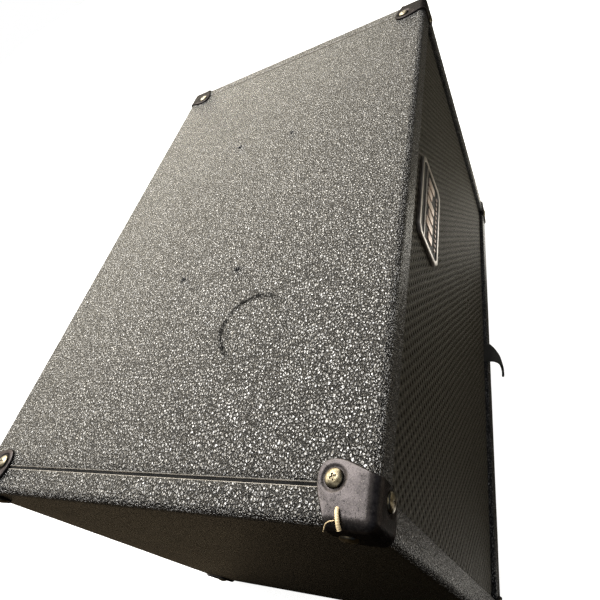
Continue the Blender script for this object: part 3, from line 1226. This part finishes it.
for i in range(n - 1):
    F.append([i * cols, (i + 1) * cols, k + (i + 1) * cols, k + i * cols][::-1])
    a = i * cols + cols - 1
    F.append([a, a + cols, k + a + cols, k + a])
for c in range(cols - 1):
    F.append([c, c + 1, k + c + 1, k + c])
    a = (n - 1) * cols + c
    F.append([a + 1, a, k + a, k + a + 1])
new_object("pull_tab_webbing", V, orient(V, F), [M["webbing"]], "grille", ["pull_tab"], sharp_angle=60)


# ---------------------------------------------------------------- driver, horn, port
wlo, whi = box_mm("woofer_basket")
wx, wz = (wlo[0] + whi[0]) / 2, (wlo[2] + whi[2]) / 2
BY = box_mm("baffle_board")[0][1]
W0 = (wx, BY, wz)
seg = 144
lathe("driver_basket", [(155, -0.3), (155, -2.6), (154.2, -3.4), (138.5, -3.5), (136.6, -3.0), (136, -1.5), (136, 4), (128, 30),
                        (84, 82), (40, 82), (40, 85), (88, 85), (132, 32), (140, 4), (140, -0.3), (155, -0.3)],
      W0, [M["basket"]], "cabinet", ["woofer_basket"], seg)
lathe("driver_magnet", [(0, 85.3), (24.2, 85.3), (24.2, 108), (28.4, 108), (28.4, 85.3), (60, 85.3), (60, 93), (77, 93), (78, 94),
                        (78, 112), (77, 113), (62, 113), (62, 120), (61, 121), (0, 121)], W0, [M["ferrite"]], "cabinet", ["woofer_magnet"], seg)
ribs = [(128, -3.6), (127.9, -2.3)]
for t in np.linspace(0.02, 1, 34):
    r = 127.6 + (27.4 - 127.6) * t
    y = -2.2 + 56.2 * t + 2.2 * math.sin(math.pi * t)
    ribs.append((r, y + 0.35))
cone_profile = ribs + [(27.3, 99), (26, 99), (26, 51)]
for t in np.linspace(1, 0.02, 60):
    r = 126.8 + (26.5 - 126.8) * t
    y = -3.4 + 53.8 * t + 2.2 * math.sin(math.pi * t) - (0.45 * math.exp(-((t * 5) % 1 - 0.5) ** 2 / 0.01) if t < 0.8 else 0)
    cone_profile.append((r, y))
cone_profile.append((128, -3.6))
lathe("driver_cone", cone_profile, W0, [M["cone"]], "cone", ["woofer_cone"], seg)
dome = [(38.2 * math.sin(a), 28.0 + 14.7 * (1 - math.cos(a)) / (1 - math.cos(1.05))) for a in np.linspace(0, 1.05, 14) / 1.0]
dome = [(r / math.sin(1.05), y) for r, y in [(38.2 * math.sin(a), 28.1 + 14.4 * (1 - math.cos(a)) / (1 - math.cos(1.05))) for a in np.linspace(0, 1.05, 14)]]
under = [(r * 0.965, y + 0.9) for r, y in dome[::-1]]
under[-1] = (0, under[-1][1])
lathe("driver_dust_cap", dome + under, W0, [M["dustcap"]], "cone", ["woofer_dust_cap"], seg)
roll = [(150, -3.8), (150, -4.7), (149, -4.9), (142.4, -4.9)] + [(135 + 6.3 * math.cos(a), -5.0 + -6.2 * math.sin(a)) for a in np.linspace(0.05, math.pi - 0.05, 22)]
roll += [(128.7, -4.6), (128.7, -3.8)] + [(135 - 5.3 * math.cos(a), -4.3 - 5.6 * math.sin(a)) for a in np.linspace(0.08, math.pi - 0.08, 20)] + [(150, -3.8)]
# the roll flexes between the fixed rim and the moving cone, so each sector bends along its own radius
SECTORS, STEPS = 24, 6
ring = np.array(roll[:-1])
for k in range(SECTORS):
    ang = 2 * math.pi * (k + np.linspace(0, 1, STEPS + 1)) / SECTORS
    V = np.array([(r * math.cos(a), y, r * math.sin(a)) for a in ang for r, y in ring]) + np.array(W0)
    count = len(ring)
    F = [[i * count + j, i * count + (j + 1) % count, (i + 1) * count + (j + 1) % count, (i + 1) * count + j]
         for i in range(STEPS) for j in range(count)]
    F += [list(range(count))[::-1], [STEPS * count + j for j in range(count)]]
    ob = new_object("driver_surround_%02d" % (k + 1), V, orient(V, F), [M["surround"]], None, ["woofer_surround"], sharp_angle=35)
    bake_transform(ob)
# gasket ring with eight screw heads on the driver rim
lathe("driver_gasket", [(154, -3.6), (154, -4.9), (153, -5.5), (151.2, -5.5), (150.4, -4.9), (150.4, -3.6), (154, -3.6)], W0, [M["surround"]], "cabinet", (), seg)

hlo, hhi = box_mm("horn")
hx0, hz0 = (hlo[0] + hhi[0]) / 2, (hlo[2] + hhi[2]) / 2


def super_loop(hw, hh, power, y, count=96):
    out = []
    for i in range(count):
        a = i / count * 2 * math.pi + math.pi / count
        c, s = math.cos(a), math.sin(a)
        out.append((hx0 + hw * math.copysign(abs(c) ** (2 / power), c), BY + y, hz0 + hh * math.copysign(abs(s) ** (2 / power), s)))
    return np.array(out)


hl = [super_loop(94.6, 69.6, 9, -0.3), super_loop(94.8, 69.8, 9, -4.3), super_loop(93.8, 68.8, 9, -5.3), super_loop(82, 57, 7, -5.3), super_loop(79, 54, 7, -4.6)]
for t in np.linspace(0, 1, 18):
    e = t ** 1.5
    hw = 77 + (13 - 77) * (1 - (1 - t) ** 1.7)
    hh = 52.5 + (13 - 52.5) * (1 - (1 - t) ** 1.35)
    hl.append(super_loop(hw, hh, 6 - 4 * t, -3 + 91 * t))
hl.append(super_loop(17, 17, 2, 88))
for t in np.linspace(0.98, 0.0, 12):
    hw = 80 + (17 - 80) * (1 - (1 - t) ** 1.7)
    hh = 55.6 + (17 - 55.6) * (1 - (1 - t) ** 1.35)
    hl.append(super_loop(hw, hh, 6 - 4 * t, 0.5 + 87 * t))
loft("horn_flare", hl, [M["plastic"]], "cabinet", ["horn"], closed=True, sharp=35)

plo, phi = box_mm("port_tube")
lathe("port_flare", [(33, 6)] + arc_points(44, 5.7, 11, math.pi, 1.5 * math.pi, 8)[1:] + [(44, -4.6), (44, -0.3), (36, -0.3), (36, 105), (33, 105), (33, 6)],
      ((plo[0] + phi[0]) / 2, BY, (plo[2] + phi[2]) / 2), [M["plastic"]], "cabinet", ["port_tube"], seg)
clo, chi = box_mm("compression_driver")
lathe("horn_driver", [(0, 92), (12, 92), (12, 88.4), (30, 88.4), (30, 96), (43, 99), (44, 101), (44, 131), (42.5, 134), (38, 138), (0, 138)],
      ((clo[0] + chi[0]) / 2, BY, (clo[2] + chi[2]) / 2), [M["ferrite"]], "cabinet", ["compression_driver"], 64)


# ---------------------------------------------------------------- rear panel, plate, socket, knob
def framed_panel(name, hw, hh, r, hole, y0, y1, cx, cz, mats, replaces, bevel=1.2):
    """Plate from y0 to y1 with a rounded outline, a rectangular hole and rounded rear edges."""
    hx2, hz2, hr, ox, oz = hole
    n2 = 8
    O = lambda i, y: xz_loop(rounded_loop(hw - i, hh - i, max(r - i, 0.3), n2), y, cx, cz)
    I = lambda i, y: xz_loop(rounded_loop(hx2 + i, hz2 + i, hr + i, n2), y, ox, oz)
    rows2 = [O(0, y0)] + [O(bevel * (1 - math.cos(a)), y1 - bevel + bevel * math.sin(a)) for a in np.linspace(0, math.pi / 2, 5)]
    rows2 += [I(0.8 * (1 - math.cos(a)), y1 - 0.8 + 0.8 * math.sin(a)) for a in np.linspace(math.pi / 2, 0, 4)] + [I(0, y0)]
    return loft(name, rows2, mats, "cabinet", replaces, closed=True, sharp=40)


klo, khi = box_mm("back_board")
jlo, jhi = box_mm("jack_plate")
jz = (jlo[2] + jhi[2]) / 2
framed_panel("rear_panel", (khi[0] - klo[0]) / 2, (khi[2] - klo[2]) / 2, 1.5, (57.5, 24.0, 1.5, 0.0, jz), klo[1], khi[1],
             0.0, (klo[2] + khi[2]) / 2, [M["vinyl"]], ["back_board"])
framed_panel("connection_plate_rim", 72, 38, 6, (52.5, 19.5, 3.0, 0.0, jz), khi[1] + 0.3, jhi[1], 0.0, jz, [M["plate"]], ["jack_plate"], 0.8)
floor_y = jhi[1] - 15.0
dish = [xz_loop(rounded_loop(54.8, 21.8, 3.5), khi[1] + 0.9, 0, jz), xz_loop(rounded_loop(54.8, 21.8, 3.5), floor_y - 2.3, 0, jz),
        xz_loop(rounded_loop(10, 8, 3.5), floor_y - 2.3, 0, jz)]
dish_in = [xz_loop(rounded_loop(10, 8, 3.5), floor_y, 0, jz), xz_loop(rounded_loop(50.8, 17.8, 2.0), floor_y, 0, jz),
           xz_loop(rounded_loop(51.9, 18.9, 2.6), floor_y + 0.5, 0, jz), xz_loop(rounded_loop(52.4, 19.4, 3.0), floor_y + 1.6, 0, jz),
           xz_loop(rounded_loop(52.5, 19.5, 3.0), khi[1] + 0.9, 0, jz)]
# the dish floor closes in the middle under the socket and the knob
Vd = np.vstack(dish + dish_in)
nl = len(dish[0])
Fd = []
allr = dish + dish_in
for j in range(len(allr) - 1):
    if j == 2:
        continue
    for i in range(nl):
        i2 = (i + 1) % nl
        Fd.append([j * nl + i, j * nl + i2, (j + 1) * nl + i2, (j + 1) * nl + i])
Fd.append([2 * nl + i for i in range(nl)])
Fd.append([3 * nl + i for i in range(nl)][::-1])
last = len(allr) - 1
for i in range(nl):
    i2 = (i + 1) % nl
    Fd.append([last * nl + i, last * nl + i2, i2, i])
new_object("connection_dish", Vd, orient(Vd, Fd), [M["plate"]], "cabinet", sharp_angle=35)
ilo, ihi = box_mm("input_jack")
lathe("socket", [(5.5, 2.0), (6.0, 2.9), (9, 3.2), (10.5, 3.1), (11, 2.2), (13.5, 2.2), (15.2, 2.0), (16, 1.2), (16, 0.3), (12, 0.3), (12, -27), (0, -27), (0, -23), (5.5, -23), (5.5, 2.0)],
      ((ilo[0] + ihi[0]) / 2, floor_y, jz), [M["plastic"]], "cabinet", ["input_jack"], 96)
lathe("socket_nut", [(6.2, 3.0), (9.4, 3.0), (9.8, 3.5), (9.6, 4.6), (8.9, 5.0), (6.6, 5.0), (6.2, 4.5), (6.2, 3.0)], ((ilo[0] + ihi[0]) / 2, floor_y, jz),
      [M["steel"]], "cabinet", (), 96, modulate=lambda r, y, a: (r * (1 - 0.05 * abs(math.sin(3 * a)) if r > 9 else r / r) if r > 9 else r, y))
nlo, nhi = box_mm("level_knob")
kx = (nlo[0] + nhi[0]) / 2


def flute(r, y, a):
    return (r * (1 - 0.035 * (0.5 + 0.5 * math.cos(18 * a))) if (r > 9.5 and y > 3.2) else r, y)


lathe("control_knob", [(0, -16), (3.5, -16), (3.9, -15.5), (3.9, 0.8), (11.6, 0.8), (12, 1.2), (12, 3.0), (11.6, 3.6), (10.9, 4.2), (10.3, 11.6), (9.9, 12.6), (9.0, 13), (7.5, 12.8), (0, 12.8)],
      (kx, floor_y, jz), [M["plastic"]], "level_control", ["level_knob"], 144, modulate=flute)
# pointer line on the knob's face
loops3 = [xz_loop(rounded_loop(0.75, 3.6, 0.7, 4), floor_y + 12.6, kx, jz + 5.2), xz_loop(rounded_loop(0.75, 3.6, 0.7, 4), floor_y + 13.35, kx, jz + 5.2)]
loft("knob_pointer", loops3, [M["white"]], "level_control", sharp=30)
# level scale: short ticks round the knob
for i, a in enumerate(np.radians(np.linspace(-150, 150, 11))):
    c, s = math.cos(a + math.pi / 2), math.sin(a + math.pi / 2)
    q = rounded_loop(0.35, 1.3, 0.3, 3)
    rot = np.array([[math.cos(a), -math.sin(a)], [math.sin(a), math.cos(a)]])
    pts = q @ rot.T + np.array([c * 15.2, s * 15.2])
    loft(f"level_tick_{i + 1}", [xz_loop(pts, floor_y + 0.02, kx, jz), xz_loop(pts, floor_y + 0.22, kx, jz)], [M["white"]], "cabinet", sharp=30)

# screws that hold the rear panel and the plate
pv, pf, pg = screw_mesh(29, 3.9, 1.9, 1.4, 6.0, 1.0, 0.5, 1.9)
spots = []
W2, H2 = (khi[0] - klo[0]) / 2 - 12, (khi[2] - klo[2]) / 2 - 12
for x in (-W2, -W2 / 3, W2 / 3, W2):
    spots += [(x, ZC + H2), (x, ZC - H2)]
spots += [(-W2, ZC), (W2, ZC)]
for i, (x, z) in enumerate(spots):
    V = place(pv, (x, khi[1] + 0.02, z), (0, 1, 0), rng.uniform(0, math.pi))
    new_object(f"panel_screw_{i + 1}", V, pf, [M["steel"]], "cabinet", attrs={"groove": pg}, sharp_angle=70)
for i, (x, z) in enumerate([(-64, 30), (64, 30), (-64, -30), (64, -30)]):
    V = place(pv, (x, jhi[1] + 0.02, jz + z), (0, 1, 0), rng.uniform(0, math.pi))
    new_object(f"plate_screw_{i + 1}", V, pf, [M["steel"]], "cabinet", attrs={"groove": pg}, sharp_angle=70)
# screws on the driver rim and the horn flange
for i in range(8):
    a = math.radians(22.5 + 45 * i)
    V = place(pv, (wx + 146.5 * math.cos(a), BY - 5.0, wz + 146.5 * math.sin(a)), (0, -1, 0), rng.uniform(0, math.pi))
    new_object(f"driver_screw_{i + 1}", V * 1.0, pf, [M["steel"]], "cabinet", attrs={"groove": pg}, sharp_angle=70)
for i, (x, z) in enumerate([(-88, 62), (88, 62), (-88, -62), (88, -62)]):
    V = place(pv, (hx0 + x, BY - 5.3, hz0 + z), (0, -1, 0), rng.uniform(0, math.pi))
    new_object(f"horn_screw_{i + 1}", V, pf, [M["steel"]], "cabinet", attrs={"groove": pg}, sharp_angle=70)

# ---------------------------------------------------------------- rubber feet
for nm in ("foot_front_left", "foot_front_right", "foot_rear_left", "foot_rear_right"):
    a, b = box_mm(nm)
    prof = [(0, 3.2), (3.4, 3.2), (4.2, 2.6), (4.6, 0.6), (5.4, 0.05), (14.8, 0.0), (16.2, 0.5), (16.9, 1.5), (18.9, 10.8), (18.6, 11.6), (18.0, 11.8), (0, 11.8)]
    lathe(f"{nm}_rubber", prof, ((a[0] + b[0]) / 2, (a[1] + b[1]) / 2, 0.0), [M["rubber"]], "cabinet", [nm], 72, axis="z")
    new_object(f"{nm}_screw", place(pv, ((a[0] + b[0]) / 2, (a[1] + b[1]) / 2, 3.1), (0, 0, -1), 0.4), pf, [M["steel"]], "cabinet", attrs={"groove": pg}, sharp_angle=70)


# ---------------------------------------------------------------- bent staple at the near corner
def wire(name, points, radius, mat, body, n=40, around=14):
    C = catmull(points, n)
    T = np.gradient(C, axis=0)
    T /= np.linalg.norm(T, axis=1, keepdims=True)
    ref = np.array([0.2, 1.0, 0.1])
    loops4 = []
    for i in range(n):
        u = np.cross(ref, T[i]); u /= np.linalg.norm(u)
        w = np.cross(T[i], u)
        rr = radius * (0.55 if i in (0, n - 1) else 1.0) * (1 + 0.06 * math.sin(i * 1.7))
        loops4.append(np.array([C[i] + rr * (math.cos(a) * u + math.sin(a) * w) for a in np.linspace(0, 2 * math.pi, around, endpoint=False)]))
    return loft(name, loops4, [mat], body, sharp=60)


L2W = lambda pts: local_to_world(np.array(pts, dtype=float), -1, -1, 1)
wire("staple_sliver", L2W([(8.8, 20.4, -1.6), (7.6, 20.1, -2.9), (4.8, 19.5, -3.2), (2.0, 18.9, -2.9), (-0.4, 18.4, -1.7), (-1.6, 18.1, -0.7)]), 1.15, M["tan"], "cabinet")
wire("staple_wire", L2W([(2.6, 21.0, -2.5), (1.8, 24.2, -2.4), (0.6, 25.8, -2.1), (-0.9, 26.8, -0.9), (-2.0, 27.8, 0.8), (-2.4, 28.6, 2.6)]), 0.30, M["tan"], "cabinet")

# ---------------------------------------------------------------- CAD nodes that stay
KEEP = {"top_board": "wood", "bottom_board": "wood", "left_board": "wood", "right_board": "wood", "baffle_board": "baffle",
        "grille_frame": "baffle", "crossover_board": "pcb"}
for node, key in KEEP.items():
    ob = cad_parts[node]
    ob.data.materials.clear()
    ob.data.materials.append(M[key])

# ---------------------------------------------------------------- stage, light and camera
scene = bpy.context.scene
scene.view_settings.view_transform = "Standard"
scene.cycles.denoising_prefilter = "NONE"     # keeps the fine grain of the covering
scene.view_settings.look = "None"


def floor_material():
    n = Nodes("pale_floor")
    t = n.t
    lp = t.nodes.new("ShaderNodeLightPath")
    cam = lp.outputs["Is Camera Ray"]
    c = n.xyz(n.co)
    # what the floor gives back to the object: dark to the left, lighter strip in front, dim far right
    left = n.range(c[0], -296, -318)
    front = n.math("MULTIPLY", n.range(c[1], -188, -214), n.range(c[0], -150, -240))
    bounce = n.mix(front, (0.110, 0.098, 0.076), (0.55, 0.51, 0.46))
    bounce = n.mix(n.range(c[0], 60, 190), bounce, (0.20, 0.19, 0.16))
    bounce = n.mix(n.range(c[0], 380, 520), bounce, (0.040, 0.037, 0.030))
    bounce = n.mix(left, bounce, (0.0140, 0.0105, 0.0058))
    bounce = n.mix(n.math("MULTIPLY", left, n.range(c[1], -120, 140)), bounce, (0.042, 0.033, 0.022))
    col = n.mix(cam, bounce, (0.42, 0.42, 0.415))
    ex = n.math("DIVIDE", n.math("SUBTRACT", c[0], 262.0), 88.0)
    ey = n.math("DIVIDE", n.math("ADD", c[1], 320.0), 80.0)
    r = n.math("SQRT", n.math("ADD", n.math("MULTIPLY", ex, ex), n.math("MULTIPLY", ey, ey)))
    glow = n.math("MULTIPLY", n.range(r, 1.05, 0.25), 3.8)
    strip = n.math("MULTIPLY", n.range(c[0], -330, -270), n.math("MULTIPLY", front, n.range(c[1], -330, -260)))
    ex = n.math("DIVIDE", n.math("SUBTRACT", c[0], 290.0), 150.0)
    ey = n.math("DIVIDE", n.math("ADD", c[1], 188.0), 48.0)
    r = n.math("SQRT", n.math("ADD", n.math("MULTIPLY", ex, ex), n.math("MULTIPLY", ey, ey)))
    glow = n.math("MULTIPLY_ADD", n.range(r, 1.05, 0.2), 1.7, glow)
    strip = n.math("MULTIPLY", strip, n.range(c[0], -228, -252))
    glow = n.math("MULTIPLY_ADD", strip, 1.6, glow)
    n.put(n.bsdf.inputs["Emission Color"], n.mix(cam, (1.0, 0.97, 0.90), (1.0, 1.0, 0.995)))
    n.set(color=col, rough=0.9, spec=0.0, emit=n.fmix(cam, glow, 0.86))
    back = t.nodes.new("ShaderNodeNewGeometry")
    clear = t.nodes.new("ShaderNodeBsdfTransparent")
    both = t.nodes.new("ShaderNodeMixShader")
    out = next(x for x in t.nodes if x.bl_idname == "ShaderNodeOutputMaterial")
    t.links.new(back.outputs["Backfacing"], both.inputs[0])
    t.links.new(n.bsdf.outputs[0], both.inputs[1])
    t.links.new(clear.outputs[0], both.inputs[2])
    t.links.new(both.outputs[0], out.inputs["Surface"])
    return n.mat


fs = 6000.0
me = bpy.data.meshes.new("studio_floor")
g = np.linspace(-fs, fs, 9)
vv = [(x * MM, y * MM, 0.0) for x in g for y in g]
me.from_pydata(vv, [], grid_faces(9, 9).tolist())
me.materials.append(floor_material())
floor = bpy.data.objects.new("studio_floor", me)
floor.location.z = -0.0004
scene.collection.objects.link(floor)

world = bpy.data.worlds.new("studio_world")
scene.world = world
world.use_nodes = True
wt = world.node_tree
wt.nodes.clear()
wo = wt.nodes.new("ShaderNodeOutputWorld")
bg = wt.nodes.new("ShaderNodeBackground")
wt.links.new(bg.outputs[0], wo.inputs[0])


class WN(Nodes):
    def __init__(self, tree):
        self.t = tree


w = WN(wt)
tc = wt.nodes.new("ShaderNodeTexCoord")
dirn = w.vmath("NORMALIZE", tc.outputs["Generated"])
d = w.xyz(dirn)
def lobe(axis, lo, hi):
    v = np.array(axis, dtype=float); v /= np.linalg.norm(v)
    return w.range(w.vmath("DOT_PRODUCT", dirn, tuple(v)), lo, hi)


# one wide soft window behind and beyond the far side, a weak ceiling above it, dark room elsewhere
flat_len = w.math("SQRT", w.math("ADD", w.math("MULTIPLY", d[0], d[0]), w.math("MULTIPLY_ADD", d[1], d[1], 1e-4)))
az = w.math("DIVIDE", w.math("ADD", w.math("MULTIPLY", d[0], 0.68), w.math("MULTIPLY", d[1], 0.733)), flat_len)
az = w.range(az, 0.52, 1.0)
az = w.fmix(w.range(d[2], 0.80, 0.97), az, 0.7)
by_height = w.xyz(w.ramp(d[2], [(0.0, 0.09), (0.26, 0.135), (0.34, 0.23), (0.42, 0.74), (0.60, 0.80), (0.70, 0.60), (0.78, 0.42), (0.84, 0.40), (0.90, 0.14), (1.0, 0.06)]))[0]
level = w.math("MULTIPLY", w.math("MULTIPLY", by_height, 16.5), az)
tint = w.mix(w.range(d[2], 0.15, 0.75), (1.0, 0.895, 0.69), (1.0, 0.97, 0.91))
bright = w.vmath("SCALE", tint, scale=level)
dark = w.mix(w.range(d[2], -0.05, 0.7), (0.05, 0.05, 0.052), (0.17, 0.17, 0.18))
dark = w.mix(w.range(d[1], -0.25, -0.6), dark, w.mix(w.range(d[2], -0.05, 0.7), (0.022, 0.028, 0.045), (0.075, 0.095, 0.15)))
env = w.vmath("ADD", dark, bright)
env = w.mix(lobe((0.33, 0.39, 0.86), 0.915, 0.985), env, (15.5, 15.3, 15.0))
env = w.mix(lobe((0.05, 0.62, 0.78), 0.982, 0.992), env, (4.0, 4.0, 4.0))
env = w.mix(lobe((0.72, 0.10, 0.68), 0.982, 0.992), env, (4.0, 4.0, 3.9))
lp = wt.nodes.new("ShaderNodeLightPath")
env = w.mix(lp.outputs["Is Camera Ray"], env, (1.0, 1.0, 1.0))
wt.links.new(env, bg.inputs[0])
bg.inputs[1].default_value = 1.0


def area(name, loc, target, size, power, color=(1, 1, 1)):
    li = bpy.data.lights.new(name, "AREA")
    li.shape = "RECTANGLE"
    li.size, li.size_y = size
    li.energy = power
    li.color = color
    ob = bpy.data.objects.new(name, li)
    scene.collection.objects.link(ob)
    ob.location = loc
    ob.rotation_euler = (Vector(target) - Vector(loc)).to_track_quat("-Z", "Y").to_euler()
    return ob


area("overhead_softbox", (0.55, 0.75, 1.9), (0.0, 0.0, 0.3), (1.0, 1.0), 9.0, (1.0, 0.985, 0.96))
# soft fills for the faces turned away from the window; they light the matt part of the surfaces only
for name, loc, power in (("front_fill", (0.80, -1.15, 0.42), 15.0), ("low_front_fill", (0.55, -0.70, 0.06), 2.5)):
    ob = area(name, loc, (0.10, -0.17, 0.20), (0.9, 0.6), power, (1.0, 0.95, 0.86))
    ob.visible_glossy = False

cam_data = bpy.data.cameras.new("camera")
cam = bpy.data.objects.new("camera", cam_data)
scene.collection.objects.link(cam)
scene.camera = cam
cam_data.sensor_width = 36.0
cam_data.sensor_fit = "HORIZONTAL"
cam_data.lens = 479.28 / 600.0 * 36.0
cam_data.clip_start = 0.01
cam_data.clip_end = 50.0
right = Vector((0.19180, -0.87043, -0.45339)).normalized()
fwd = Vector((0.57395, 0.47422, -0.66761)).normalized()
upv = right.cross(fwd).normalized()
rot = Matrix((right, upv, -fwd)).transposed()
loc = Vector(((-51.95 - HX) * MM, (-95.73 + YF) * MM, (ZT + 242.10) * MM))
cam.matrix_world = Matrix.Translation(loc) @ rot.to_4x4()

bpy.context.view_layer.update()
